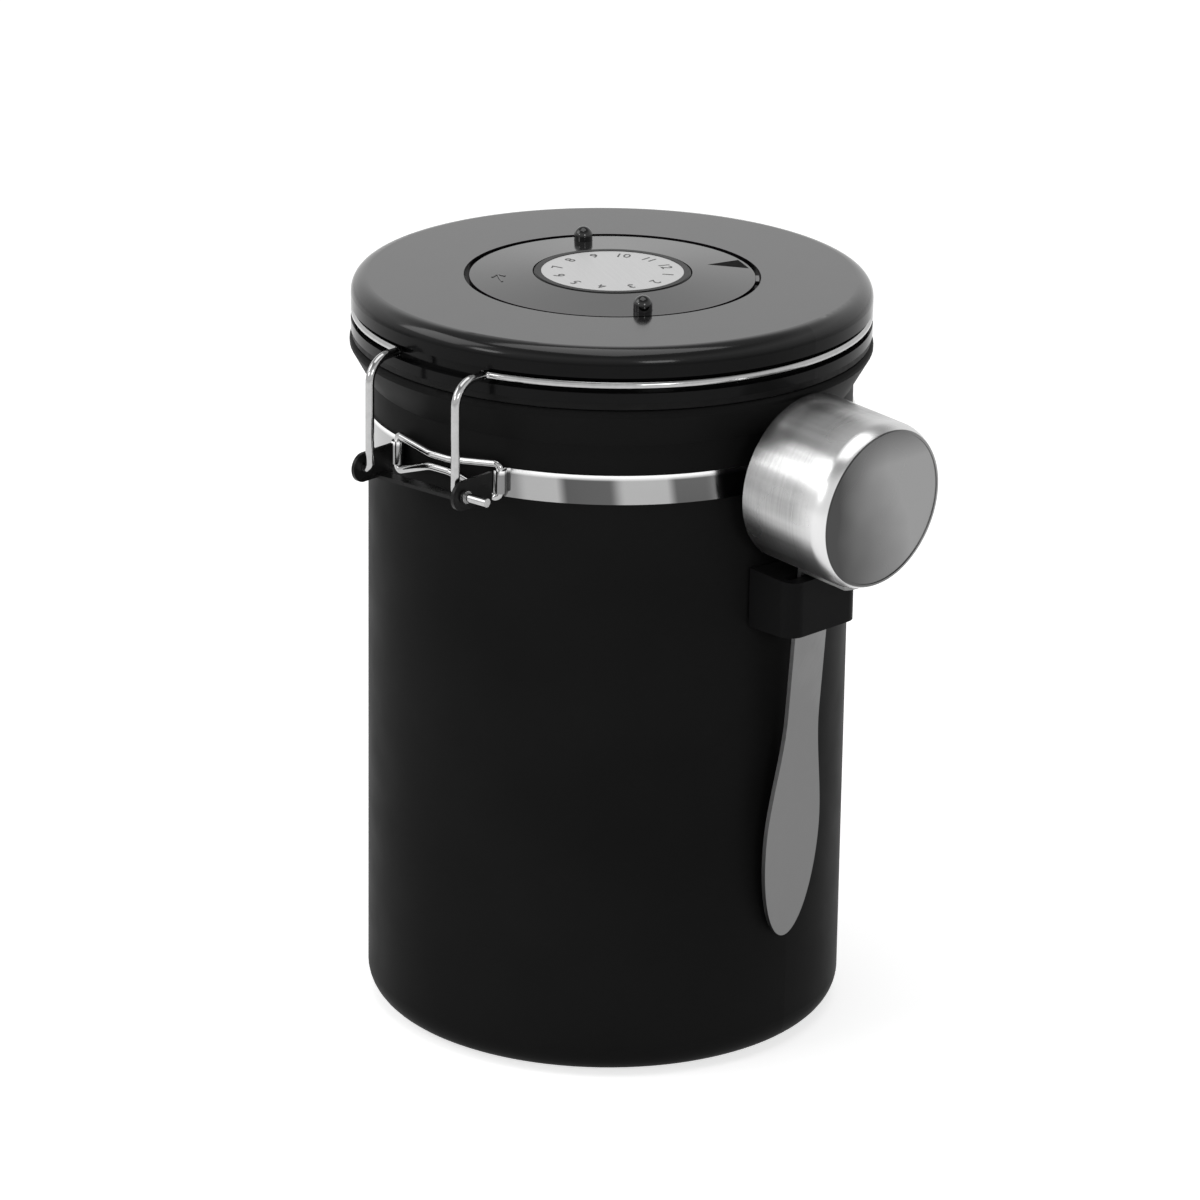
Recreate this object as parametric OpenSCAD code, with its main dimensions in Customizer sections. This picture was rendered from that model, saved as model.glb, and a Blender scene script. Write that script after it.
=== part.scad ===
// Coffee canister with a one-way valve in its lid, a wire bail latch, a month dial and a scoop.
// Millimetres, +Z up, origin at the centre of the bottom. The latch is at -Y, the hinge at +Y,
// and the scoop hangs beside +X.

/* [Canister] */
// Outer diameter of the can
body_d = 122; // [100:1:150]
// Height of the can from the table to the top of its rim
can_h = 176.8; // [150:0.2:230]
// Thickness of the steel sheet
wall = 0.9; // [0.6:0.1:1.5]
// Outer radius of the rounding between wall and bottom
corner_r = 7.8; // [4:0.1:12]
// How far the flared rim stands out past the wall
flare_out = 4.7; // [3:0.1:6]
// Height of the slanted part of the rim
flare_h = 8.3; // [6:0.1:12]
// Height of the upright lip above the flare
lip_h = 1.8; // [1.4:0.1:3]
// Rise of the pressed panel in the bottom
foot_rise = 1.6; // [1:0.1:3]
// Width of the sloped and flat ring between that panel and the rounding
foot_w = 11.2; // [7:0.1:16]

/* [Lid] */
// Height of the lid from the rim's gasket to its top
lid_h = 14.9; // [13:0.1:20]
// How far the lid's side stands in from the rim's edge
lid_inset = 0.3; // [0:0.1:1]
// Radius of the rounding round the lid's top
lid_round = 4; // [2:0.1:5]
// Wall of the moulded lid
lid_wall = 2.6; // [2:0.1:3.2]
// Depth of the ring's recess in the lid
recess_depth = 2.9; // [2.4:0.1:3.4]
// Gap between the liner's plug and the can's wall
plug_gap = 1.5; // [0.8:0.1:3]
// Depth of the plug below the rim's top
plug_depth = 5.2; // [4:0.1:6]
// Thickness of the gasket
gasket_t = 1.6; // [1:0.1:2.2]

/* [Month dial] */
// Outer radius of the turning ring
ring_r = 35.8; // [30:0.1:41]
// Thickness of the turning ring at its edge
ring_t = 2.4; // [1.8:0.1:2.5]
// Rise of the ring's cone from its edge to the dial cap
ring_crown = 1.1; // [0.6:0.1:1.3]
// Gap round the turning ring
ring_gap = 1.4; // [0.6:0.1:1.8]
// Radius of the fixed dial cap
dial_r = 19.7; // [16:0.1:24]
// Width of the bezel between the cap's edge and the metal disc
bezel_w = 1.85; // [1.2:0.05:3]
// Height of the dial cap above the lid
dial_rise = 1.1; // [0.8:0.1:2]
// Radius of a finger peg
peg_r = 2.35; // [1.5:0.05:2.6]
// Height of a finger peg above the ring
peg_h = 3.9; // [3:0.1:6]
// Distance of the pegs' middles from the ring's edge
peg_in = 4.3; // [3.5:0.1:8]
// Length of the pointer wedge
pointer_l = 9.8; // [6:0.1:13]
// Width of the pointer wedge
pointer_w = 8; // [3:0.1:10]

/* [Bail wire and latch] */
// Diameter of the bail wire
wire_d = 2.2; // [1.8:0.1:2.6]
// Distance of each front leg from the middle
leg_x = 14.1; // [11:0.1:18]
// Distance of the front legs from the can's rim
leg_out = 8.1; // [7.4:0.1:11]
// Height of the lever's pivot below the band's middle
latch_low = 0.2; // [0:0.1:1]
// Length of wire that sticks out past the right ear
tip_l = 7.7; // [5:0.1:11]
// Thickness of the lever's sheet
lever_t = 0.9; // [0.7:0.1:1.2]
// Radius of the lever's rounded ears
ear_r = 3.7; // [3:0.1:4.5]
// Distance of the rear hinge from the can's rim
hinge_out = 4.3; // [4:0.1:8]
// Depth of the rear hinge below the rim's top
hinge_drop = 7.8; // [6:0.1:10]
// Half width of the bail's rear loop
hinge_x = 9; // [7:0.1:14]

/* [Neck band] */
// Depth of the band's middle below the rim's top
band_drop = 21.2; // [19:0.1:26]
// Width of the band
band_w = 7.4; // [5:0.1:9]
// Thickness of the band
band_t = 0.6; // [0.4:0.1:0.8]
// Half the gap between the band's ends at the latch
band_gap = 16.8; // [13:0.1:20]
// Diameter of the catch frame's wire
catch_d = 2.1; // [1.6:0.1:2.4]
// Width of the catch frame's drawn-in middle
waist_w = 6.4; // [4:0.1:10]

/* [Scoop] */
// Outer radius of the cup
cup_r = 21.2; // [17:0.1:22]
// Reach of the cup's mouth from the handle towards the can
mouth_back = 6.7; // [4:0.1:7]
// Depth of the cup
cup_depth = 26.8; // [20:0.1:32]
// Thickness of the cup's sheet
cup_t = 0.8; // [0.6:0.1:1.2]
// Radius of the shoulder between the cup's wall and its base
cup_round = 7; // [4:0.1:10]
// How far the base's edge stands in from the wall
base_in = 1.4; // [0.8:0.1:2]
// Thickness of the handle
handle_t = 1.2; // [1:0.1:1.6]
// Width of the handle's neck
neck_w = 11.2; // [8:0.1:14]
// Width of the handle's paddle
paddle_w = 19; // [15:0.1:22]
// Length of the handle below the clip's top
handle_l = 99.5; // [85:0.5:105]
// Length of the handle's narrow part below the clip's top
neck_l = 38; // [20:1:45]
// Length of the paddle's rounded end
round_l = 27.5; // [15:0.5:35]
// Gap between the paddle's tip and the can
tip_gap = 1.7; // [1:0.1:4]
// Lean of the scoop away from upright
lean = 4.5; // [3.5:0.1:6]
// Turn of the scoop about the can from +X
scoop_turn = -4; // [-20:0.5:20]

/* [Scoop clip] */
// Depth of the clip's top below the rim's top
clip_drop = 44.8; // [42:0.1:60]
// Height of the clip
clip_h = 14.5; // [10:0.1:20]
// Wall of the clip in front of its slot
clip_wall = 3.1; // [2.4:0.1:4]
// Wall of the clip beside its slot
clip_side = 2.1; // [1.6:0.1:4]
// Thickness of the foam pad behind the clip
pad_t = 1; // [0.6:0.1:1.6]

/* [Hidden] */
$fn = 96;

// Running gap of a hinge or pin, measured on the radius
run_gap = 0.06;
// Gap between the dial cap's neck and the ring that turns on it
turn_gap = 0.1;
// Gap between pieces that turn or slide past each other
slide_gap = 0.3;
// Gap between pieces that sit still together
seat_gap = 0.05;
// Gap between the wire and a ring pushed on it
grip_gap = 0.02;
// Overlap that lets a cut break through a face
cut = 1;
// How far a wire's straights reach into its bends, and how much thicker the bends are
bend_lap = 0.1;
bend_swell = 0.01;

body_r = body_d / 2;
rim_r = body_r + flare_out;
lip_z = can_h - lip_h;
flare_z = lip_z - flare_h;
bead_r = 1.1;
foot_flat = 3;

gasket_z = can_h + slide_gap;
skirt_z = gasket_z + gasket_t;
lid_top = gasket_z + lid_h;
lid_r = rim_r - lid_inset;
groove_rise = 4.5;
groove_z = skirt_z + groove_rise;
groove_half = 1.9;
hoop_r = lid_r - wire_d / 2;
groove_floor_r = hoop_r - wire_d / 2 - seat_gap;
skirt_wall = 3.1;
skirt_in_r = lid_r - skirt_wall;
cavity_r = groove_floor_r - lid_wall;
recess_z = lid_top - recess_depth;
recess_r = ring_r + ring_gap;
recess_floor_t = 2.2;

liner_t = 1.8;
plug_r = body_r - wall - plug_gap;
plug_z = can_h - plug_depth;
plug_wall = 2.2;

dial_top = lid_top + dial_rise;
dial_step = 1;
dial_neck_r = dial_r - dial_step;
ring_bottom = recess_z + slide_gap;
ring_top = ring_bottom + ring_t;
ring_lip_t = 1;
cone_r = dial_r + slide_gap;
peg_seat_z = ring_top + ring_crown * (peg_in - peg_r) / (ring_r - cone_r) - seat_gap;
flange_z = ring_bottom + ring_lip_t + slide_gap;
bezel_edge = 0.3;
disc_r = dial_r - bezel_w;
disc_t = 0.6;
disc_sink = 0.7;
peg_at = ring_r - peg_in;
peg_turn = 144.4;
peg_foot = 1;
peg_foot_r = 1.2;
pointer_turn = 60;
pointer_sink = 0.7;
pointer_in = 0.8;

screw_r = 1.2;
screw_l = 4.2;
screw_head_r = 2.8;
screw_head_t = 1.6;

valve_r = 9.2;
valve_flange_r = 11.5;
valve_flange_t = 1.2;
valve_wall = 1.6;
valve_h = 6.6;
valve_top = plug_z + valve_h;
seat_rise = 2.4;
seat_z = plug_z + seat_rise;
seat_t = 1;
seat_hole_r = 0.9;
seat_hole_at = 4;
chamber_r = valve_r - valve_wall;
filter_t = 0.65;
membrane_r = 6.8;
membrane_t = 0.8;
valve_cap_t = 1.2;
vent_r = 1.5;
vent_at = 4.2;

band_z = can_h - band_drop;
latch_z = band_z - latch_low;
hinge_z = can_h - hinge_drop;
hinge_y = rim_r + hinge_out;
leg_y = rim_r + leg_out;
wire_r = wire_d / 2;
bend_r = 6;
rear_bend_r = 2.5;
tight_r = 1.6;
ear_x = leg_x + tight_r + 0.2;
pin_half = 3;
stop_t = 1;
stop_wall = 0.5;
short_tip_l = slide_gap + stop_t + 0.2;

catch_r = catch_d / 2;
catch_bend_r = 1.3;
waist_bend_r = 6;
band_in_r = body_r + seat_gap;
band_out_r = band_in_r + band_t;
hem_at = body_r + catch_r + band_t + 0.2;
hem_y = sqrt(hem_at * hem_at - band_gap * band_gap);
catch_over = 1.2;
catch_under = 0.6;
catch_top = band_z + band_w / 2 + catch_over;
catch_low = band_z - band_w / 2 - catch_under;
waist_out = 1.5;
waist_y = body_r + catch_r + waist_out;
waist_drop = 1.1;
waist_rise = 4.9;
waist_top = catch_top - waist_drop;
waist_low = catch_low + waist_rise;
waist_run = norm([band_gap - waist_w / 2, hem_y - waist_y]);

clip_top = can_h - clip_drop;
scoop_u = body_r + tip_gap + handle_t / 2 + handle_l * sin(lean);
slot_side_gap = 0.7;
slot_face_gap = 0.4;
slot_w = paddle_w + 2 * slot_side_gap;
slot_t = handle_t + 2 * slot_face_gap;
clip_w = slot_w + 2 * clip_side;
clip_front = scoop_u + slot_t / 2 + clip_wall;
clip_corner = 4;
pad_in = 1;
pad_half_angle = 8;
tab_l = 15;
tab_gap = slide_gap;
cup_axis = tab_gap + handle_t + cup_r;

function unit(v) = v / norm(v);

// A round bar from p to q
module bar(p, q, r) {
    d = q - p;
    l = norm(d);
    tilt = acos(d.z / l);
    turn = atan2(d.y, d.x);
    translate(p)
        rotate([0, tilt, turn])
            cylinder(r = r, h = l);
}

// A torus bend that leaves p along direction a and turns towards direction b
module bend(p, a, b, rb, r) {
    swing = acos(a * b);
    side = unit(b - (a * b) * a);
    up = cross(-side, a);
    centre = p + side * rb;
    multmatrix([
        [-side.x, a.x, up.x, centre.x],
        [-side.y, a.y, up.y, centre.y],
        [-side.z, a.z, up.z, centre.z],
        [0, 0, 0, 1]
    ])
        rotate_extrude(angle = swing)
            translate([rb, 0])
                circle(r = r);
}

// A wire through the points, with the bend radius given for each point and 0 at a free end.
// Each bend is a hair thicker than the straights, and laps over their ends.
module wire_path(points, radii, r, closed = false) {
    n = len(points);
    bars = closed ? n : n - 1;
    dirs = [for (i = [0:bars - 1]) unit(points[(i + 1) % n] - points[i])];
    trims = [
        for (i = [0:n - 1])
            radii[i] * tan(acos(dirs[(i + bars - 1) % bars] * dirs[i % bars]) / 2)
    ];
    for (i = [0:bars - 1]) {
        j = (i + 1) % n;
        bar(
            points[i] + dirs[i] * max(trims[i] - bend_lap, 0),
            points[j] - dirs[i] * max(trims[j] - bend_lap, 0),
            r
        );
    }
    for (i = [0:n - 1])
        if (radii[i] > 0) {
            k = (i + bars - 1) % bars;
            bend(points[i] - dirs[k] * trims[i], dirs[k], dirs[i], radii[i], r + bend_swell);
        }
}

// Length of upright that the catch frame's corner takes where its long side rises by so much
function corner_trim(rise) = catch_bend_r * tan((90 + atan(rise / waist_run)) / 2);

// Half section of the can's outside, or of its inside when inset by the sheet
module can_profile(inset, top) {
    r = body_r - inset;
    cr = corner_r - inset;
    lip_r = rim_r - inset;
    translate([0, inset])
        square([r - cr, top - inset]);
    translate([r - cr, corner_r])
        intersection() {
            circle(r = cr);
            translate([0, -cr])
                square([cr, cr]);
        }
    translate([0, corner_r])
        square([r, flare_z - corner_r]);
    polygon([[0, flare_z], [r, flare_z], [lip_r, lip_z], [lip_r, top], [0, top]]);
}

module canister_body() {
    panel_r = body_r - corner_r - foot_w;
    foot_in_r = panel_r + foot_rise;
    foot_out_r = foot_in_r + foot_flat;
    color("#1b1b1d")
        rotate_extrude() {
            difference() {
                can_profile(0, can_h - bead_r);
                can_profile(wall, can_h + cut);
                translate([0, -cut])
                    square([foot_out_r - cut, wall + 2 * cut]);
            }
            polygon([
                [0, foot_rise], [panel_r, foot_rise], [foot_in_r, 0], [foot_out_r, 0],
                [foot_out_r, wall], [foot_in_r + wall / 2, wall],
                [panel_r + wall / 2, foot_rise + wall], [0, foot_rise + wall]
            ]);
            translate([rim_r - bead_r, can_h - bead_r])
                circle(r = bead_r);
        }
}

// The band runs round the neck from one side of the latch to the other, and its ends are hemmed
module neck_band() {
    half = asin(band_gap / hem_at);
    hem_in_r = catch_r + seat_gap;
    hem_low = catch_low + corner_trim(waist_rise) + seat_gap;
    hem_top = catch_top - corner_trim(waist_drop) - seat_gap;
    color("#d9dadc") {
        translate([0, 0, band_z - band_w / 2])
            rotate([0, 0, half - 90])
                rotate_extrude(angle = 360 - 2 * half)
                    translate([band_in_r, 0])
                        square([band_t, band_w]);
        for (side = [-1, 1])
            translate([side * band_gap, -hem_y, hem_low])
                difference() {
                    cylinder(r = hem_in_r + band_t, h = hem_top - hem_low);
                    translate([0, 0, -cut])
                        cylinder(r = hem_in_r, h = hem_top - hem_low + 2 * cut);
                }
    }
}

// Wire ring whose uprights sit in the band's hems and whose long sides draw together in the middle
module catch_frame() {
    half_waist = waist_w / 2;
    loop = [
        [-band_gap, -hem_y, catch_top],
        [-half_waist, -waist_y, waist_top], [half_waist, -waist_y, waist_top],
        [band_gap, -hem_y, catch_top], [band_gap, -hem_y, catch_low],
        [half_waist, -waist_y, waist_low], [-half_waist, -waist_y, waist_low],
        [-band_gap, -hem_y, catch_low]
    ];
    side_bends = [catch_bend_r, waist_bend_r, waist_bend_r, catch_bend_r];
    color("#d4d5d8")
        wire_path(loop, concat(side_bends, side_bends), catch_r, true);
}

// Stamped bracket at the back of the band, rolled into a barrel round the bail's rear loop
module hinge_bracket() {
    plate_y = band_out_r + seat_gap;
    sheet = 1;
    flange = 3;
    plate_low = band_z - band_w / 2;
    plate_top = band_z + band_w / 2;
    barrel = wire_r + run_gap + sheet;
    half = hinge_x - wire_r - tight_r - 1;
    color("#c9cacd") {
        translate([-half - flange, plate_y, plate_low])
            cube([2 * (half + flange), sheet, band_w]);
        translate([half, 0, 0])
            rotate([90, 0, -90])
                linear_extrude(2 * half)
                    difference() {
                        union() {
                            polygon([
                                [-plate_y, plate_top - 2], [-plate_y - sheet, plate_top - 2],
                                [-hinge_y - 0.2, hinge_z - barrel + 0.2], [-hinge_y + barrel - 0.3, hinge_z],
                                [-plate_y, plate_top + 1.2]
                            ]);
                            translate([-hinge_y, hinge_z])
                                circle(r = barrel);
                        }
                        translate([-hinge_y, hinge_z])
                            circle(r = wire_r + run_gap);
                    }
    }
}

// Solid of the sector between two radii, centred on +X
module sector(r0, r1, z0, z1, half_angle) {
    rotate([0, 0, -half_angle])
        rotate_extrude(angle = 2 * half_angle)
            translate([r0, z0])
                square([r1 - r0, z1 - z0]);
}

module clip_pad() {
    color("#2b2b2b")
        rotate([0, 0, scoop_turn])
            sector(body_r + seat_gap, body_r + pad_t, clip_top - clip_h + pad_in, clip_top - pad_in, pad_half_angle);
}

// Frame of the scoop: origin on the handle at the clip's top, +Z up the handle, +X out of the cup's base
module scoop_frame() {
    rotate([0, 0, scoop_turn])
        translate([scoop_u, 0, clip_top])
            rotate([0, lean, 0])
                children();
}

// Moulded pocket that the handle drops through
module scoop_clip() {
    back_r = body_r + pad_t + seat_gap;
    long = 4 * clip_h;
    color("#202022")
        difference() {
            rotate([0, 0, scoop_turn])
                translate([0, 0, clip_top - clip_h])
                    linear_extrude(2 * clip_h)
                        union() {
                            translate([0, -clip_w / 2])
                                square([clip_front - clip_corner, clip_w]);
                            translate([0, -clip_w / 2 + clip_corner])
                                square([clip_front, clip_w - 2 * clip_corner]);
                            for (side = [-1, 1])
                                translate([clip_front - clip_corner, side * (clip_w / 2 - clip_corner)])
                                    circle(r = clip_corner);
                        }
            translate([0, 0, clip_top - clip_h - cut])
                cylinder(r = back_r, h = 3 * clip_h);
            scoop_frame()
                translate([-long, -clip_w, 0])
                    cube([2 * long, 2 * clip_w, long]);
            scoop_frame()
                translate([-slot_t / 2, -slot_w / 2, -long])
                    cube([slot_t, slot_w, 2 * long]);
        }
}

module lid_cover() {
    color("#3a3a3c")
        rotate_extrude()
            difference() {
                union() {
                    translate([0, skirt_z])
                        square([lid_r, lid_top - lid_round - skirt_z]);
                    translate([0, lid_top - lid_round])
                        square([lid_r - lid_round, lid_round]);
                    translate([lid_r - lid_round, lid_top - lid_round])
                        circle(r = lid_round);
                }
                translate([groove_floor_r, groove_z - groove_half])
                    square([lid_r, 2 * groove_half]);
                translate([0, recess_z])
                    square([recess_r, recess_depth + cut]);
                translate([0, skirt_z - cut])
                    square([cavity_r, recess_z - recess_floor_t - skirt_z + cut]);
                translate([0, skirt_z])
                    square([screw_r + seat_gap, recess_z - skirt_z + cut]);
                translate([0, skirt_z - cut])
                    square([skirt_in_r, liner_t + seat_gap + cut]);
            }
}

// Inner dish that plugs the mouth and holds the gasket and the valve
module lid_liner() {
    color("#2c2c2e")
        rotate_extrude()
            difference() {
                union() {
                    translate([0, skirt_z])
                        square([skirt_in_r - seat_gap, liner_t]);
                    translate([0, plug_z])
                        square([plug_r, skirt_z - plug_z]);
                }
                translate([0, plug_z + liner_t])
                    square([plug_r - plug_wall, skirt_z - plug_z + liner_t]);
                translate([0, plug_z - cut])
                    square([valve_r, liner_t + 2 * cut]);
            }
}

// Flat silicone seal that lies on the rim, clamped between cover and liner
module lid_gasket() {
    color("#8c8d90")
        rotate_extrude()
            translate([plug_r + seat_gap, gasket_z])
                square([lid_r - 0.3 - plug_r - seat_gap, gasket_t]);
}

// Dial cap: a neck that the ring turns on, under a flange that keeps the ring down
module dial_cap() {
    color("#161617")
        rotate_extrude()
            difference() {
                union() {
                    translate([0, recess_z])
                        square([dial_neck_r, flange_z - recess_z]);
                    translate([0, flange_z])
                        square([dial_r, dial_top - bezel_edge - flange_z]);
                    polygon([
                        [0, dial_top - bezel_edge], [dial_r, dial_top - bezel_edge],
                        [dial_r - bezel_edge, dial_top], [0, dial_top]
                    ]);
                }
                translate([0, dial_top - disc_sink])
                    square([disc_r + seat_gap, disc_sink + cut]);
                translate([0, recess_z - cut])
                    square([screw_r + seat_gap, screw_l - recess_floor_t + seat_gap + cut]);
            }
}

module dial_disc() {
    color("#cfd0d2")
        translate([0, 0, dial_top - disc_sink])
            cylinder(r = disc_r, h = disc_t);
}

// Screw that holds the dial cap from inside the lid
module dial_screw() {
    floor_z = recess_z - recess_floor_t;
    slot_l = 1.2 * screw_head_r;
    slot_w = 0.6;
    color("#b8b9bc")
        difference() {
            rotate_extrude() {
                translate([0, floor_z - screw_head_t])
                    square([screw_head_r, screw_head_t]);
                translate([0, floor_z])
                    square([screw_r, screw_l]);
            }
            for (turn = [0, 90])
                rotate([0, 0, turn])
                    translate([-slot_l / 2, -slot_w / 2, floor_z - screw_head_t - cut])
                        cube([slot_l, slot_w, screw_head_t / 2 + cut]);
        }
}

module valve_body() {
    color("#e6e5e0")
        difference() {
            rotate_extrude()
                difference() {
                    union() {
                        translate([0, plug_z - valve_flange_t])
                            square([valve_flange_r, valve_flange_t]);
                        translate([0, plug_z])
                            square([valve_r - seat_gap, valve_top - plug_z]);
                    }
                    translate([0, seat_z + seat_t])
                        square([chamber_r, valve_top]);
                    translate([0, plug_z - valve_flange_t - cut])
                        square([chamber_r, seat_z - plug_z + valve_flange_t + cut]);
                }
            for (i = [0:5])
                rotate([0, 0, 60 * i])
                    translate([seat_hole_at, 0, seat_z - cut])
                        cylinder(r = seat_hole_r, h = seat_t + 2 * cut);
        }
}

module valve_filter() {
    color("#f1efe8")
        translate([0, 0, seat_z - seat_gap - filter_t])
            cylinder(r = chamber_r - seat_gap, h = filter_t);
}

// Silicone disc that lifts off the seat when gas builds up under it
module valve_membrane() {
    color("#c98b5a")
        translate([0, 0, seat_z + seat_t + seat_gap])
            cylinder(r = membrane_r, h = membrane_t);
}

module valve_cap() {
    color("#e6e5e0")
        translate([0, 0, valve_top - valve_cap_t])
            difference() {
                cylinder(r = chamber_r - seat_gap, h = valve_cap_t);
                for (i = [0:3])
                    rotate([0, 0, 90 * i + 45])
                        translate([vent_at, 0, -cut])
                            cylinder(r = vent_r, h = valve_cap_t + 2 * cut);
            }
}

// Half section of the ring's coned body
module ring_section() {
    polygon([
        [cone_r, ring_bottom], [ring_r, ring_bottom],
        [ring_r, ring_top], [cone_r, ring_top + ring_crown]
    ]);
}

// The ring turns on the dial cap's neck and carries the pointer and the two finger pegs
module date_ring() {
    color("#3d3d3f")
        difference() {
            rotate_extrude() {
                translate([dial_neck_r + turn_gap, ring_bottom])
                    square([cone_r - dial_neck_r, ring_lip_t]);
                ring_section();
            }
            pointer_wedge(0);
            peg_places() {
                translate([0, 0, peg_seat_z])
                    cylinder(r = peg_r + seat_gap, h = ring_crown + cut);
                translate([0, 0, peg_seat_z - peg_foot])
                    cylinder(r = peg_foot_r, h = peg_foot + cut);
            }
        }
}

module peg_places() {
    for (half_turn = [0, 180])
        rotate([0, 0, peg_turn + half_turn])
            translate([peg_at, 0, 0])
                children();
}

module finger_pegs() {
    color("#0f0f10")
        peg_places()
            rotate_extrude() {
                translate([0, peg_seat_z - peg_foot])
                    square([peg_foot_r - seat_gap, peg_foot]);
                translate([0, peg_seat_z])
                    square([peg_r, peg_h - peg_r]);
                translate([0, peg_seat_z + peg_h - peg_r])
                    intersection() {
                        circle(r = peg_r);
                        square([peg_r, peg_r]);
                    }
            }
}

// Tall wedge with its point towards the dial, standing on the floor of its pocket in the ring
module pointer_wedge(gap) {
    base_at = ring_r - pointer_in;
    tip_at = base_at - pointer_l;
    half_w = pointer_w / 2;
    tip_miter = 2.5 * gap;
    base_miter = 1.5 * gap;
    rotate([0, 0, pointer_turn])
        translate([0, 0, ring_top - pointer_sink])
            linear_extrude(pointer_sink + ring_crown + cut)
                polygon([
                    [tip_at + tip_miter, 0],
                    [base_at - gap, half_w - base_miter],
                    [base_at - gap, -half_w + base_miter]
                ]);
}

// The wedge's top follows the ring's cone
module pointer_inlay() {
    color("#070708")
        intersection() {
            pointer_wedge(seat_gap);
            rotate_extrude()
                ring_section();
        }
}

// Right half of the bail: hoop in the lid's groove, front leg that ends past the ear by the length
// of its tip, and rear leg down to the hinge pin
module half_bail(tip) {
    hoop_bend = 1.8;
    lap = 0.1;
    front_half = asin((leg_x + hoop_bend) / (hoop_r + hoop_bend));
    rear_half = asin((hinge_x + hoop_bend) / (hoop_r + hoop_bend));
    front_y = (hoop_r + hoop_bend) * cos(front_half);
    rear_y = (hoop_r + hoop_bend) * cos(rear_half);
    end_x = ear_x + lever_t + tip;
    translate([0, 0, groove_z]) {
        rotate([0, 0, front_half - 90 - lap])
            rotate_extrude(angle = 180 - front_half - rear_half + 2 * lap)
                translate([hoop_r, 0])
                    circle(r = wire_r);
        translate([leg_x + hoop_bend, -front_y, 0])
            rotate([0, 0, 90 + front_half])
                rotate_extrude(angle = 90 - front_half)
                    translate([hoop_bend, 0])
                        circle(r = wire_r + bend_swell);
        translate([hinge_x + hoop_bend, rear_y, 0])
            rotate([0, 0, 180])
                rotate_extrude(angle = 90 - rear_half)
                    translate([hoop_bend, 0])
                        circle(r = wire_r + bend_swell);
    }
    wire_path(
        [
            [leg_x, -front_y + bend_lap, groove_z], [leg_x, -leg_y, groove_z],
            [leg_x, -leg_y, latch_z], [end_x, -leg_y, latch_z]
        ],
        [0, bend_r, tight_r, 0], wire_r
    );
    wire_path(
        [
            [hinge_x, rear_y - bend_lap, groove_z], [hinge_x, hinge_y, groove_z],
            [hinge_x, hinge_y, hinge_z], [pin_half - 1, hinge_y, hinge_z]
        ],
        [0, rear_bend_r, tight_r, 0], wire_r
    );
}

// One wire, whose rear loop is the hinge pin
module bail_wire() {
    color("#d6d7da") {
        half_bail(tip_l);
        mirror([1, 0, 0])
            half_bail(short_tip_l);
        translate([-pin_half, hinge_y, hinge_z])
            rotate([0, 90, 0])
                cylinder(r = wire_r + bend_swell, h = 2 * pin_half);
    }
}

// Push-on rings that keep the ears on the wire
module wire_stops() {
    middle_x = ear_x + lever_t + slide_gap + stop_t / 2;
    color("#c3c4c7")
        for (side = [-1, 1])
            translate([side * middle_x, -leg_y, latch_z])
                rotate([0, 90, 0])
                    difference() {
                        cylinder(r = wire_r + stop_wall, h = stop_t, center = true);
                        cylinder(r = wire_r + grip_gap, h = stop_t + 2 * cut, center = true);
                    }
}

// Stamped lever: two ears on the bail's ends, joined by a floor
module latch_lever() {
    hook_gap = 1.2;
    rear_y = hem_y + catch_r + seat_gap + band_t + hook_gap;
    floor_z = latch_z - ear_r;
    web_w = 3.4;
    web_y = rim_r + 0.5 + web_w;
    color("#2a2a2c") {
        for (side = [-1, 1])
            translate([side * (ear_x + lever_t / 2), 0, 0])
                rotate([90, 0, 90])
                    linear_extrude(lever_t, center = true)
                        difference() {
                            union() {
                                translate([-leg_y, latch_z])
                                    circle(r = ear_r);
                                translate([-leg_y, floor_z])
                                    square([leg_y - rear_y, 2 * ear_r]);
                            }
                            translate([-leg_y, latch_z])
                                circle(r = wire_r + run_gap);
                        }
        translate([-ear_x, -web_y, floor_z])
            cube([2 * ear_x, web_w, lever_t]);
    }
}

// Half section of the cup's outside, or of its inside when inset by the sheet. The shoulder is an
// arc that leaves the wall smoothly and meets the flat base at an edge.
module cup_profile(inset, low) {
    shoulder_h = sqrt(base_in * (2 * cup_round - base_in));
    shoulder_z = cup_depth - shoulder_h;
    translate([0, low])
        square([cup_r - inset, shoulder_z - low]);
    translate([0, shoulder_z])
        square([cup_r - cup_round, shoulder_h - inset]);
    intersection() {
        translate([cup_r - cup_round, shoulder_z])
            circle(r = cup_round - inset);
        translate([0, shoulder_z])
            square([cup_r, shoulder_h - inset]);
    }
}

module scoop_cup() {
    dish_in = 0.5;
    dish_depth = 0.25;
    color("#c8c9cb")
        scoop_frame()
            translate([-mouth_back, 0, cup_axis])
                rotate([0, 90, 0])
                    rotate_extrude()
                        difference() {
                            cup_profile(0, 0);
                            cup_profile(cup_t, -cut);
                            translate([0, cup_depth - dish_depth])
                                square([cup_r - base_in - dish_in, cut]);
                        }
}

// Half width of the handle at a distance below the clip's top
function handle_half(d) =
    let (
        widest = handle_l - round_l,
        t = min(max((d - neck_l) / (widest - neck_l), 0), 1),
        ease = t * t * (3 - 2 * t),
        s = max((d - widest) / round_l, 0)
    )
    (neck_w + (paddle_w - neck_w) * ease) / 2 * sqrt(max(1 - s * s, 0));

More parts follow.
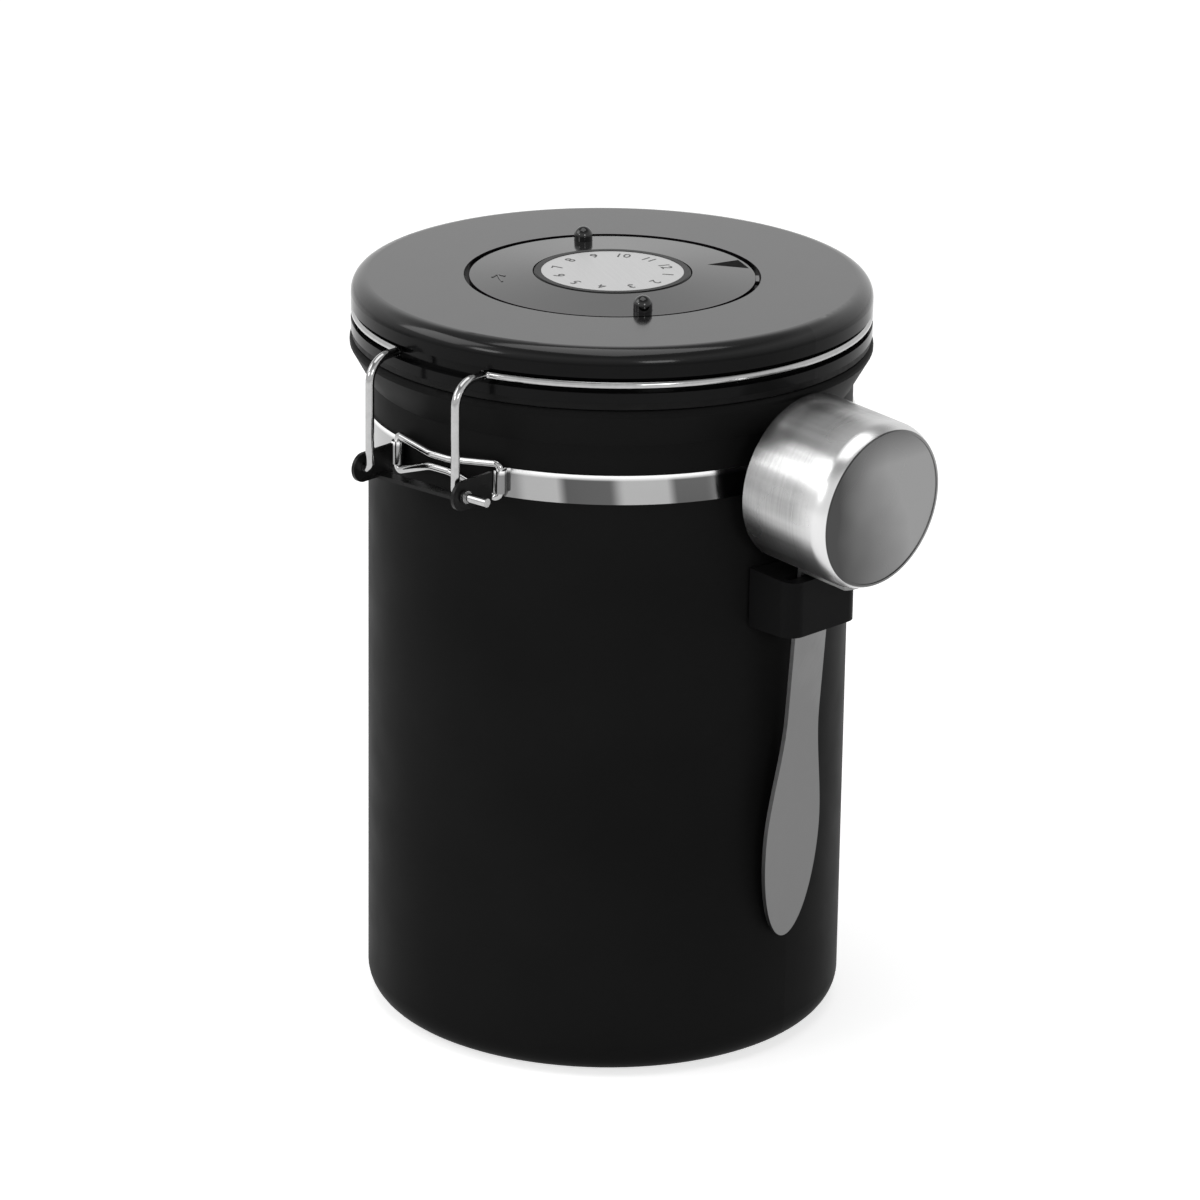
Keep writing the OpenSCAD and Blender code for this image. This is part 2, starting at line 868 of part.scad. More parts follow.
module scoop_handle() {
    steps = 48;
    depths = [for (i = [0:steps]) handle_l * sin(90 * i / steps)];
    tab_r = cup_r + seat_gap;
    flat_z = cup_axis - sqrt((tab_r + handle_t) * (tab_r + handle_t) - neck_w * neck_w / 4);
    root_lap = 0.4;
    color("#bcbdbf")
        scoop_frame() {
            rotate([90, 0, 90])
                linear_extrude(handle_t, center = true)
                    polygon(concat(
                        [for (d = depths) [handle_half(d), -d]],
                        [for (i = [0:steps]) [-handle_half(depths[steps - i]), -depths[steps - i]]]
                    ));
            translate([-handle_t / 2, -neck_w / 2, -cut])
                cube([handle_t, neck_w, cut + flat_z + root_lap]);
            intersection() {
                translate([-handle_t / 2, 0, cup_axis])
                    rotate([0, 90, 0])
                        difference() {
                            cylinder(r = tab_r + handle_t, h = tab_l + handle_t / 2);
                            translate([0, 0, -cut])
                                cylinder(r = tab_r, h = tab_l + handle_t + 2 * cut);
                        }
                translate([-handle_t, -neck_w / 2, -cut])
                    cube([tab_l + 2 * handle_t, neck_w, cup_r]);
            }
        }
}

canister_body();
neck_band();
catch_frame();
hinge_bracket();
clip_pad();
scoop_clip();
lid_cover();
lid_liner();
lid_gasket();
dial_cap();
dial_disc();
dial_screw();
valve_body();
valve_filter();
valve_cap();
valve_membrane();
date_ring();
finger_pegs();
pointer_inlay();
bail_wire();
wire_stops();
latch_lever();
scoop_cup();
scoop_handle();
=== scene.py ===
"""Looks of the coffee canister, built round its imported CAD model. Lengths are in metres."""

import math

import bmesh
import bpy
from mathutils import Matrix, Vector

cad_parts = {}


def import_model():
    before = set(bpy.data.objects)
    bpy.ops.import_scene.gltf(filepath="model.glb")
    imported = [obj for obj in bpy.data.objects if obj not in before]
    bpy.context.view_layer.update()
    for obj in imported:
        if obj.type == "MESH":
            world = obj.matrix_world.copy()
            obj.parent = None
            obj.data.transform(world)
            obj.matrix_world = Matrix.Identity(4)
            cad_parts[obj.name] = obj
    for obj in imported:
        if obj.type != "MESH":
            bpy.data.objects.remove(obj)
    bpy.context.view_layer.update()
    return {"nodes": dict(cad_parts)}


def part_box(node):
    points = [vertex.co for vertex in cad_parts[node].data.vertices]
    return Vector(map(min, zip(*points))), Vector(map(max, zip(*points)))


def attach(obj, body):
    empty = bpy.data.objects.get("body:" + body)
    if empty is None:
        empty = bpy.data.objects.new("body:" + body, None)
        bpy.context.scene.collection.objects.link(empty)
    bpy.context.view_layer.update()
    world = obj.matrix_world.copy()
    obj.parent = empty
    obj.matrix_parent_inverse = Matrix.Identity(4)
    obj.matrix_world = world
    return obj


# The photograph's frame is 1200 pixels square. The camera's numbers come from its outline.
PHOTO = 1200
FOCAL_PIXELS = 5848
SENSOR = 0.036
CAMERA_DISTANCE = 1.4948
CAMERA_AZIMUTH = 40.5
CAMERA_ELEVATION = 19.83
CAMERA_ROLL = 0.84
LOOK_AT = Vector((0, 0, 0.095))
LOOK_AT_PIXEL = (607.1, 639.6)

# The scoop's frame stands on its handle at the clip's top, turned about the can and leaning out
SCOOP_TURN = math.radians(-4)
SCOOP_LEAN = math.radians(4.5)
SCOOP_OUT = 0.0711
CLIP_TOP = 0.132

# In that frame: the height of the cup's axis, and how far out the face of its base begins
CUP_AXIS = 0.0227
CUP_FACE = 0.0197

# The cup's wall has a painted highlight over its rounded shoulder, and its face painted shade towards the
# top
SHOULDER_HIGHLIGHT_FROM = CUP_FACE - 0.010
SHOULDER_HIGHLIGHT_TO = CUP_FACE - 0.003
FACE_SHADE_FROM = CUP_AXIS + 0.011
FACE_SHADE_TO = CUP_AXIS + 0.021

# A change of look over this short a way is a sharp edge
HARD_EDGE = 0.0001

# The band's top edge is a painted highlight that brightens between these heights
BAND_HIGHLIGHT_FROM = 0.1579
BAND_HIGHLIGHT_TO = 0.1588

# The band's colour holds painted reflection, patches of dark and bright, so many to a radian. The shift
# picks which ones.
BAND_REFLECTION_PATCHES = 4.5
BAND_SHIFT = 14.2

# The can's inside is bare steel. Its floor faces up and lies below a height.
INSIDE_FLOOR_TO = 0.02
INSIDE_FLOOR_BLEND = 0.001
INSIDE_UP_FROM = 0.4
INSIDE_UP_TO = 0.5

# Its wall faces the axis, so the dot product of its normal and its offset from there is negative
INSIDE_WALL_FROM = -0.006
INSIDE_WALL_TO = -0.012

# The lid's side is dull below the first height and its top glossy above the second
LID_DULL_TO = 0.1884
LID_GLOSS_FROM = 0.1918

# The month ring's cone
RING_EDGE = 0.0358
RING_INNER = 0.0200
RING_EDGE_TOP = 0.1918
RING_RISE = 0.0011

# Width of a strip's top as a share of its foot's
STRIP_TOP_SHARE = 0.7

# The arrow on the ring. Turns are in degrees, and heights are over the cone.
ARROW_RADIUS = 0.0287
ARROW_TURN = -134
ARROW_SPAN = 12
ARROW_STEP = 2
ARROW_WIDTH = 0.0006
ARROW_RISE = 0.00015
ARROW_SUNK = -0.00005
BARB_REACH = 0.0016
BARB_BACK = 3.2
POINT_AHEAD = 1

# The spring strip at the ring's edge
DETENT_RADIUS = 0.0363
DETENT_FROM = 36
DETENT_TO = 44
DETENT_STEP = 2
DETENT_WIDTH = 0.0012
DETENT_TOP = -0.0001
DETENT_FOOT = -0.0012

# The studio behind the floor is white up to one elevation and grey from another
WORLD_WHITE_TO = 30
WORLD_GREY_FROM = 50
WORLD_GREY = 0.35

# Its strength as light, where the camera and metal see it at 1
WORLD_LIGHT = 0.38

# The floor's grey, its own glow, its half width and how far it lies under the can
FLOOR_GREY = 0.8
FLOOR_GLOW = 0.68
FLOOR_HALF = 12
FLOOR_DROP = 0.0002

# The month dial: 12 stands under the pointer, and the months run clockwise
POINTER_TURN = 60
MONTHS = 12
NUMERAL_RADIUS = 0.0139
NUMERAL_HEIGHT = 0.0031
NUMERAL_THICK = 0.00002
FONT_SIZE_FACTOR = 1.35


def direction(azimuth, elevation):
    """Unit vector to a viewer. Azimuth 0 is -Y, and it grows towards +X."""
    turn = math.radians(azimuth)
    rise = math.radians(elevation)
    return Vector((math.sin(turn) * math.cos(rise), -math.cos(turn) * math.cos(rise), math.sin(rise)))


class Look:
    """A Principled material with short ways to add nodes.

    Its first colour and values are plain ones. Nodes that are linked later stand in for them.
    """

    def __init__(self, name, colour, **values):
        self.material = bpy.data.materials.new(name)
        self.material.use_nodes = True
        self.tree = self.material.node_tree
        self.shader = self.tree.nodes["Principled BSDF"]
        self.shader.inputs["Base Color"].default_value = (*colour, 1)
        for key, value in values.items():
            self.shader.inputs[key.replace("_", " ")].default_value = value

    def node(self, kind, **inputs):
        """Adds a node. An input is a value or another node's output, with _ for a space in its name."""
        made = self.tree.nodes.new(kind)
        for key, value in inputs.items():
            socket = made.inputs[key.replace("_", " ")]
            if hasattr(value, "is_linked"):
                self.tree.links.new(value, socket)
            else:
                socket.default_value = value
        return made

    def place(self, turn=(0, 0, 0), stretch=(1, 1, 1)):
        """Coordinates in the row's frame, turned and then stretched."""
        start = self.node("ShaderNodeTexCoord").outputs["Object"]
        turned = self.node("ShaderNodeMapping", Vector=start, Rotation=turn)
        return self.node("ShaderNodeMapping", Vector=turned.outputs[0], Scale=stretch).outputs[0]

    def scoop_place(self):
        """Coordinates in the scoop's own frame: X out of the cup's base, Z up the handle."""
        start = self.node("ShaderNodeTexCoord").outputs["Object"]
        level = self.node("ShaderNodeMapping", Vector=start, Rotation=(0, 0, -SCOOP_TURN))
        level.inputs["Location"].default_value = (-SCOOP_OUT, 0, -CLIP_TOP)
        upright = (0, -SCOOP_LEAN, 0)
        return self.node("ShaderNodeMapping", Vector=level.outputs[0], Rotation=upright).outputs[0]

    def parts(self, where):
        """The X, Y and Z outputs of a vector."""
        made = self.node("ShaderNodeSeparateXYZ", Vector=where)
        return made.outputs["X"], made.outputs["Y"], made.outputs["Z"]

    def scaled(self, where, stretch):
        """Other coordinates, stretched."""
        return self.node("ShaderNodeMapping", Vector=where, Scale=stretch).outputs[0]

    def sum(self, *terms):
        """Sum of outputs, each with its factor."""
        total = None
        for output, factor in terms:
            made = self.tree.nodes.new("ShaderNodeMath")
            made.operation = "MULTIPLY_ADD"
            self.tree.links.new(output, made.inputs[0])
            made.inputs[1].default_value = factor
            if total is None:
                made.inputs[2].default_value = 0
            else:
                self.tree.links.new(total, made.inputs[2])
            total = made.outputs[0]
        return total

    def mix(self, factor, low, high):
        """Blend of two greys, colours or colour outputs."""
        made = self.tree.nodes.new("ShaderNodeMix")
        made.data_type = "RGBA"
        self.tree.links.new(factor, made.inputs["Factor"])
        for key, value in (("A", low), ("B", high)):
            if hasattr(value, "is_linked"):
                self.tree.links.new(value, made.inputs[key])
            elif isinstance(value, tuple):
                made.inputs[key].default_value = (*value, 1)
            else:
                made.inputs[key].default_value = (value, value, value, 1)
        return made.outputs["Result"]

    def noise(self, scale, where=None, detail=3.0, roughness=0.5):
        """Noise in the row's frame, unless other coordinates are given."""
        made = self.node("ShaderNodeTexNoise", Scale=scale, Detail=detail, Roughness=roughness)
        self.tree.links.new(where or self.place(), made.inputs["Vector"])
        return made.outputs["Fac"]

    def span(self, factor, low, high, low_in=0.3, high_in=0.7):
        """A factor spread from one range over another. Noise lies mostly between 0.3 and 0.7."""
        made = self.node("ShaderNodeMapRange", Value=factor)
        made.inputs["From Min"].default_value = low_in
        made.inputs["From Max"].default_value = high_in
        made.inputs["To Min"].default_value = low
        made.inputs["To Max"].default_value = high
        return made.outputs["Result"]

    def to(self, key, output):
        """Links an output to the shader."""
        self.tree.links.new(output, self.shader.inputs[key])

    def tint(self, factor, dark, light, low_in=0.3, high_in=0.7):
        """Base colour that wanders between two colours."""
        share = self.span(factor, 0, 1, low_in, high_in)
        self.to("Base Color", self.mix(share, dark, light))

    def bump(self, *layers):
        """Bump layers, each a height output, its depth in metres and its strength."""
        normal = None
        for height, depth, strength in layers:
            made = self.node("ShaderNodeBump", Height=height, Distance=depth, Strength=strength)
            if normal is not None:
                self.tree.links.new(normal, made.inputs["Normal"])
            normal = made.outputs["Normal"]
        self.to("Normal", normal)


def inside_of_can(look):
    """1 on the can's inside wall and floor, 0 outside and on the rim."""
    facing = look.node("ShaderNodeTexCoord").outputs["Normal"]
    flat = look.place(stretch=(1, 1, 0))
    dot = look.node("ShaderNodeVectorMath")
    dot.operation = "DOT_PRODUCT"
    look.tree.links.new(facing, dot.inputs[0])
    look.tree.links.new(flat, dot.inputs[1])
    wall = look.span(dot.outputs["Value"], 0, 1, INSIDE_WALL_FROM, INSIDE_WALL_TO)
    up = look.span(look.parts(facing)[2], 0, 1, INSIDE_UP_FROM, INSIDE_UP_TO)
    height = look.parts(look.place())[2]
    low = look.span(height, 0, 1, INSIDE_FLOOR_TO + INSIDE_FLOOR_BLEND, INSIDE_FLOOR_TO)
    bottom = look.node("ShaderNodeMath")
    bottom.operation = "MINIMUM"
    look.tree.links.new(up, bottom.inputs[0])
    look.tree.links.new(low, bottom.inputs[1])
    both = look.node("ShaderNodeMath")
    both.operation = "MAXIMUM"
    look.tree.links.new(wall, both.inputs[0])
    look.tree.links.new(bottom.outputs[0], both.inputs[1])
    return both.outputs[0]


def black_paint():
    """Black paint outside, bare brushed steel inside."""
    look = Look("black_paint", (0.009, 0.009, 0.009), Roughness=0.45, Specular_IOR_Level=0.016)
    inside = inside_of_can(look)
    lines = look.noise(1, look.place(stretch=(40, 40, 2600)), detail=4, roughness=0.7)
    paint = look.mix(look.span(look.noise(22), 0, 1), 0.0100, 0.0128)
    bare = look.mix(look.span(lines, 0, 1), 0.62, 0.70)
    look.to("Base Color", look.mix(inside, paint, bare))
    look.to("Metallic", inside)
    look.to("Specular IOR Level", look.span(inside, 0.016, 0.5, 0, 1))
    coat = look.span(look.noise(60), 0.41, 0.49)
    look.to("Roughness", look.sum((coat, 1.0), (inside, -0.10)))
    look.bump((look.noise(1600, detail=2), 0.00004, 0.12), (look.noise(240), 0.0001, 0.05))
    return look.material


def moulded_plastic(name, dark, light, grain, rough, specular=0.46):
    """Black plastic. It returns the look, so that a caller can change it further."""
    look = Look(name, (dark, dark, dark), Roughness=0.13, Specular_IOR_Level=specular)
    look.tint(look.noise(35), (dark, dark, dark * 1.03), (light, light, light * 1.03))
    look.to("Roughness", look.span(look.noise(110), *rough))
    look.bump((look.noise(3200, detail=2), 0.00003, grain), (look.noise(45), 0.0002, 0.02))
    return look


def lid_cover_plastic():
    """Glossy on top, with a duller side under the rounded edge."""
    look = moulded_plastic("lid_plastic", 0.005, 0.007, 0.03, (0.11, 0.15))
    height = look.parts(look.place())[2]
    look.to("Specular IOR Level", look.span(height, 0.07, 0.5, LID_DULL_TO, LID_GLOSS_FROM))
    return look.material


def gloss_black():
    look = Look("gloss_black", (0.004, 0.004, 0.004), Roughness=0.06, Specular_IOR_Level=0.5)
    look.to("Roughness", look.span(look.noise(400), 0.04, 0.1))
    look.tint(look.noise(150), (0.003, 0.003, 0.003), (0.006, 0.006, 0.006))
    look.bump((look.noise(700), 0.00005, 0.04))
    return look.material


def matte_black(name, grey, rough, specular):
    look = Look(name, (grey, grey, grey), Roughness=rough, Specular_IOR_Level=specular)
    look.to("Roughness", look.span(look.noise(500), rough - 0.06, rough + 0.06))
    look.tint(look.noise(200), (grey * 0.8,) * 3, (grey * 1.3,) * 3)
    look.bump((look.noise(1500), 0.00004, 0.1))
    return look.material


def steel(name, grey, rough, streak, stretch, turn=(0, 0, 0), spread=0.05, wander=0.06):
    """Metal with a fine grain. Stretched coordinates draw the grain out into lines."""
    look = Look(name, (grey, grey, grey), Metallic=1.0, Roughness=rough)
    lines = look.noise(1, look.place(turn, stretch), detail=4, roughness=0.7)
    look.tint(lines, (grey - wander,) * 3, (grey + wander,) * 3, 0.25, 0.75)
    look.to("Roughness", look.span(lines, rough - spread, rough + spread, 0.25, 0.75))
    look.bump((lines, 0.00003, streak), (look.noise(120), 0.0002, 0.03))
    return look.material


def polished_band():
    """Polished strip whose colour holds a painted highlight on its top edge and painted reflection
    patches.
    """
    look = Look("polished_band", (0.4, 0.4, 0.4), Metallic=1.0, Roughness=0.14)
    x, y, z = look.parts(look.place())
    turn = look.node("ShaderNodeMath")
    turn.operation = "ARCTAN2"
    look.tree.links.new(x, turn.inputs[0])
    look.tree.links.new(look.sum((y, -1.0)), turn.inputs[1])
    # Painted reflection: patches of dark and bright round the band, set by angle, height and a slow noise
    bend = look.noise(14, look.place(), detail=1)
    around = look.sum((turn.outputs[0], BAND_REFLECTION_PATCHES), (z, 8.0), (bend, 0.3))
    shifted = look.node("ShaderNodeMath", Value=around)
    shifted.inputs[1].default_value = BAND_SHIFT
    cells = look.tree.nodes.new("ShaderNodeTexVoronoi")
    cells.voronoi_dimensions = "1D"
    cells.feature = "SMOOTH_F1"
    cells.inputs["Smoothness"].default_value = 0.6
    cells.inputs["Scale"].default_value = 1
    look.tree.links.new(shifted.outputs[0], cells.inputs["W"])
    reflection_patch = look.parts(cells.outputs["Color"])[0]
    tone = look.mix(look.span(look.sum((reflection_patch, 0.6), (bend, 0.4)), 0, 1, 0.2, 0.8), 0.05, 0.44)
    # Painted highlight along the band's top edge
    edge = look.span(z, 0, 1, BAND_HIGHLIGHT_FROM, BAND_HIGHLIGHT_TO)
    look.to("Base Color", look.mix(edge, tone, 0.8))
    lines = look.noise(1, look.place(stretch=(30, 30, 5000)), detail=4, roughness=0.7)
    look.to("Roughness", look.span(lines, 0.10, 0.18, 0.25, 0.75))
    look.bump((lines, 0.00003, 0.08), (look.noise(90), 0.0003, 0.06))
    return look.material


def bright_wire():
    return steel("bright_wire", 0.40, 0.12, 0.12, (600, 600, 600), wander=0.04)


def bracket_steel():
    return steel("bracket_steel", 0.45, 0.20, 0.15, (40, 900, 1500), wander=0.04)


def cup_steel():
    """Spun steel, its lines round the cup, with painted reflection bands on the wall, a painted highlight
    on the shoulder and painted shade on its base to one side and the top.
    """
    look = Look("cup_steel", (0.3, 0.3, 0.3), Metallic=1.0, Roughness=0.27)
    own = look.scoop_place()
    x, y, z = look.parts(own)
    spun = look.noise(1, look.scaled(own, (2600, 60, 60)), detail=4, roughness=0.7)
    clouds = look.noise(38, own, detail=2)
    # Painted reflection: broad bands along the cup, mixed below with the spun grain
    around = look.noise(1, look.scaled(own, (12, 190, 190)), detail=2)
    wall = look.mix(look.span(look.sum((spun, 0.3), (around, 0.7)), 0, 1, 0.35, 0.65), 0.30, 0.54)
    # Painted highlight over the rounded shoulder
    shoulder = look.mix(look.span(x, 0, 1, SHOULDER_HIGHLIGHT_FROM, SHOULDER_HIGHLIGHT_TO), wall, 0.66)
    # Painted shade: the face darkens to one side and towards the top
    face_shade_slope = look.span(look.sum((y, 1.0), (z, 0.35), (clouds, 0.02)), 0, 1, 0.003, 0.024)
    top_shade = look.span(z, 0, 1, FACE_SHADE_FROM, FACE_SHADE_TO)
    base = look.mix(top_shade, look.mix(face_shade_slope, 0.055, 0.27), 0.10)
    face = look.span(x, 0, 1, CUP_FACE, CUP_FACE + HARD_EDGE)
    look.to("Base Color", look.mix(face, shoulder, base))
    look.to("Roughness", look.span(clouds, 0.24, 0.32))
    look.bump((spun, 0.00003, 0.05))
    return look.material


def handle_steel():
    """Flat stamped steel with fine slanting scratches, and painted shade that darkens it further down."""
    look = Look("handle_steel", (0.21, 0.21, 0.21), Metallic=1.0, Roughness=0.38)
    own = look.scoop_place()
    slant = look.node("ShaderNodeMapping", Vector=own, Rotation=(math.radians(28), 0, 0)).outputs[0]
    scratches = look.noise(1, look.scaled(slant, (60, 2600, 160)), detail=4, roughness=0.7)
    clouds = look.noise(60, own, detail=2)
    height = look.parts(own)[2]
    # Scratches and random tone, plus painted shade: the height term darkens it further down the handle
    tone = look.span(look.sum((scratches, 0.4), (clouds, 0.5), (height, 4.0)), 0, 1)
    look.to("Base Color", look.mix(tone, 0.175, 0.245))
    look.to("Roughness", look.span(scratches, 0.33, 0.43, 0.25, 0.75))
    look.bump((scratches, 0.00003, 0.15))
    return look.material


def disc_steel():
    return steel("disc_steel", 0.60, 0.36, 0.18, (60, 3200, 60), (0, 0, math.radians(30)), spread=0.06)


def screw_steel():
    return steel("screw_steel", 0.55, 0.28, 0.2, (900, 900, 300))


def dark_steel():
    look = Look("dark_steel", (0.008, 0.008, 0.008), Roughness=0.4, Specular_IOR_Level=0.15)
    look.to("Roughness", look.span(look.noise(260), 0.24, 0.38))
    look.tint(look.noise(90), (0.006, 0.006, 0.006), (0.011, 0.011, 0.011))
    look.bump((look.noise(1300), 0.00004, 0.15))
    return look.material


def soft(name, dark, light, rough, grain):
    """Rubber, foam, paper or plain moulded plastic."""
    look = Look(name, light, Roughness=rough)
    look.tint(look.noise(80), dark, light)
    look.to("Roughness", look.span(look.noise(300), rough - 0.06, rough + 0.06))
    look.bump((look.noise(1800), 0.00006, grain))
    return look.material


def dress(nodes, materials):
    """Gives each CAD node its material."""
    for name, material in materials.items():
        piece = nodes[name]
        piece.data.materials.clear()
        piece.data.materials.append(material)


def add_mesh(name, mesh, body, material):
    """Puts a mesh into the scene as a piece that rides on a body."""
    piece = bpy.data.objects.new(name, mesh)
    bpy.context.scene.collection.objects.link(piece)
    mesh.materials.clear()
    mesh.materials.append(material)
    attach(piece, body)


def numerals(material):
    """The twelve months round the disc, each with its head outwards, joined into one piece."""
    disc_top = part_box("dial_disc")[1][2]
    joined = bmesh.new()
    for month in range(1, MONTHS + 1):
        text = bpy.data.curves.new("month", "FONT")
        text.body = str(month)
        text.align_x = "CENTER"
        text.align_y = "CENTER"
        text.size = NUMERAL_HEIGHT * FONT_SIZE_FACTOR
        text.extrude = NUMERAL_THICK
        holder = bpy.data.objects.new("month", text)
        bpy.context.scene.collection.objects.link(holder)
        bpy.context.view_layer.update()
        mesh = holder.to_mesh().copy()
        turn = math.radians(POINTER_TURN - 360 / MONTHS * month)
        spot = Vector((math.cos(turn), math.sin(turn), 0)) * NUMERAL_RADIUS
        spot.z = disc_top + NUMERAL_THICK
        mesh.transform(Matrix.Translation(spot) @ Matrix.Rotation(turn - math.pi / 2, 4, "Z"))
        joined.from_mesh(mesh)
        bpy.data.objects.remove(holder)
        bpy.data.curves.remove(text)
        bpy.data.meshes.remove(mesh)
    mesh = bpy.data.meshes.new("dial_numerals")
    joined.to_mesh(mesh)
    joined.free()
    add_mesh("dial_numerals", mesh, "lid", material)


def ring_top(radius):
    """Height of the month ring's shallow cone."""
    return RING_EDGE_TOP + RING_RISE * (RING_EDGE - radius) / (RING_EDGE - RING_INNER)


def on_ring(radius, degrees):
    """Point on the month ring's cone."""
    turn = math.radians(degrees)
    return Vector((radius * math.cos(turn), radius * math.sin(turn), ring_top(radius)))


def strips(name, paths, width, low, high, material):
    """Strips along paths of radius and angle on the month ring, between two heights over its cone."""
    joined = bmesh.new()
    lower = Vector((0, 0, low))
    upper = Vector((0, 0, high))
    for path in paths:
        spots = [on_ring(radius, degrees) for radius, degrees in path]
        rows = []
        for index, spot in enumerate(spots):
            ahead = spots[min(index + 1, len(spots) - 1)] - spots[max(index - 1, 0)]
            side = Vector((-ahead.y, ahead.x, 0)).normalized() * width / 2
            crest = side * STRIP_TOP_SHARE
            foot = (spot - side + lower, spot + side + lower)
            top = (spot + crest + upper, spot - crest + upper)
            rows.append([joined.verts.new(corner) for corner in foot + top])
        for one, two in zip(rows, rows[1:]):
            for index in range(4):
                after = (index + 1) % 4
                joined.faces.new((one[index], one[after], two[after], two[index]))
        joined.faces.new(rows[0][::-1])
        joined.faces.new(rows[-1])
    bmesh.ops.recalc_face_normals(joined, faces=joined.faces)
    mesh = bpy.data.meshes.new(name)
    joined.to_mesh(mesh)
    joined.free()
    add_mesh(name, mesh, "month_ring", material)


def turn_arrow(material):
    """Faint raised arrow on the month ring that shows it turns."""
    shaft = [(ARROW_RADIUS, ARROW_TURN + step) for step in range(0, ARROW_SPAN + 1, ARROW_STEP)]
    point = (ARROW_RADIUS, ARROW_TURN - POINT_AHEAD)
    barbs = [[point, (ARROW_RADIUS + side, ARROW_TURN + BARB_BACK)] for side in (BARB_REACH, -BARB_REACH)]
    strips("turn_arrow", [shaft, *barbs], ARROW_WIDTH, ARROW_SUNK, ARROW_RISE, material)


def detent(material):
    """Short spring strip on the ring's edge that clicks in the lid's recess."""
    path = [(DETENT_RADIUS, turn) for turn in range(DETENT_FROM, DETENT_TO + 1, DETENT_STEP)]
    strips("ring_detent", [path], DETENT_WIDTH, DETENT_FOOT, DETENT_TOP, material)


def seen_rays(tree):
    """1 for camera, glossy and transmission rays, else 0."""
    path = tree.nodes.new("ShaderNodeLightPath")
    total = path.outputs["Is Camera Ray"]
    for kind in ("Is Glossy Ray", "Is Transmission Ray"):
        both = tree.nodes.new("ShaderNodeMath")
        both.operation = "MAXIMUM"
        tree.links.new(total, both.inputs[0])
        tree.links.new(path.outputs[kind], both.inputs[1])
        total = both.outputs[0]
    return total


def floor():
    """Pale floor that takes the object's shadow. Its glow makes it white to the camera and in metal."""
    mesh = bpy.data.meshes.new("floor")
    half = FLOOR_HALF
    corners = [(-half, -half, 0), (half, -half, 0), (half, half, 0), (-half, half, 0)]
    mesh.from_pydata(corners, [], [(0, 1, 2, 3)])
    piece = bpy.data.objects.new("floor", mesh)
    bpy.context.scene.collection.objects.link(piece)
    piece.location.z = -FLOOR_DROP
    material = bpy.data.materials.new("floor")
    material.use_nodes = True
    tree = material.node_tree
    tree.nodes.clear()
    out = tree.nodes.new("ShaderNodeOutputMaterial")
    diffuse = tree.nodes.new("ShaderNodeBsdfDiffuse")
    diffuse.inputs["Color"].default_value = (FLOOR_GREY, FLOOR_GREY, FLOOR_GREY, 1)
    glow = tree.nodes.new("ShaderNodeEmission")
    seen = seen_rays(tree)
    level = tree.nodes.new("ShaderNodeMath")
    level.operation = "MULTIPLY"
    level.inputs[1].default_value = FLOOR_GLOW
    tree.links.new(seen, level.inputs[0])
    tree.links.new(level.outputs[0], glow.inputs["Strength"])
    both = tree.nodes.new("ShaderNodeAddShader")
    tree.links.new(diffuse.outputs[0], both.inputs[0])
    tree.links.new(glow.outputs[0], both.inputs[1])
    tree.links.new(both.outputs[0], out.inputs["Surface"])
    mesh.materials.append(material)


def world():
    """White low down where the camera and metal see it, grey overhead, and dimmer as light."""
    made = bpy.data.worlds.new("studio")
    bpy.context.scene.world = made
    made.use_nodes = True
    tree = made.node_tree
    back = tree.nodes["Background"]
    seen = seen_rays(tree)
    level = tree.nodes.new("ShaderNodeMapRange")
    level.inputs["To Min"].default_value = WORLD_LIGHT
    level.inputs["To Max"].default_value = 1.0
    tree.links.new(seen, level.inputs["Value"])
    tree.links.new(level.outputs["Result"], back.inputs["Strength"])
    sky = tree.nodes.new("ShaderNodeTexCoord")
    parts = tree.nodes.new("ShaderNodeSeparateXYZ")
    tree.links.new(sky.outputs["Generated"], parts.inputs[0])
    height = tree.nodes.new("ShaderNodeMapRange")
    height.inputs["From Min"].default_value = math.sin(math.radians(WORLD_WHITE_TO))
    height.inputs["From Max"].default_value = math.sin(math.radians(WORLD_GREY_FROM))
    tree.links.new(parts.outputs["Z"], height.inputs["Value"])
    shade = tree.nodes.new("ShaderNodeMix")
    shade.data_type = "RGBA"
    shade.inputs["A"].default_value = (1, 1, 1, 1)
    shade.inputs["B"].default_value = (WORLD_GREY, WORLD_GREY, WORLD_GREY, 1)
    tree.links.new(height.outputs["Result"], shade.inputs["Factor"])
    tree.links.new(shade.outputs["Result"], back.inputs["Color"])


def softbox(name, azimuth, elevation, distance, size, radiance):
    """Rectangular lamp. The radiance is that of its face, and sets its power."""
    lamp = bpy.data.lights.new(name, "AREA")
    lamp.shape = "RECTANGLE"
    lamp.size, lamp.size_y = size
    lamp.energy = radiance * math.pi * size[0] * size[1]
    holder = bpy.data.objects.new(name, lamp)
    holder.visible_camera = False
    bpy.context.scene.collection.objects.link(holder)
    toward = direction(azimuth, elevation)
    holder.location = LOOK_AT + toward * distance
    holder.rotation_euler = toward.to_track_quat("Z", "Y").to_euler()


def lamps():
    """One large lamp overhead and three on the camera's side for the highlights on lid and scoop."""
    softbox("top_box", 0, 88, distance=1.6, size=(1.3, 1.3), radiance=1.9)
    softbox("key_box", CAMERA_AZIMUTH + 20, 20, distance=1.3, size=(0.30, 0.26), radiance=8.0)
    softbox("fill_box", CAMERA_AZIMUTH - 56, 22, distance=1.6, size=(0.34, 0.3), radiance=7.0)
    softbox("left_box", CAMERA_AZIMUTH - 88, 36, distance=1.5, size=(0.9, 0.8), radiance=2.3)


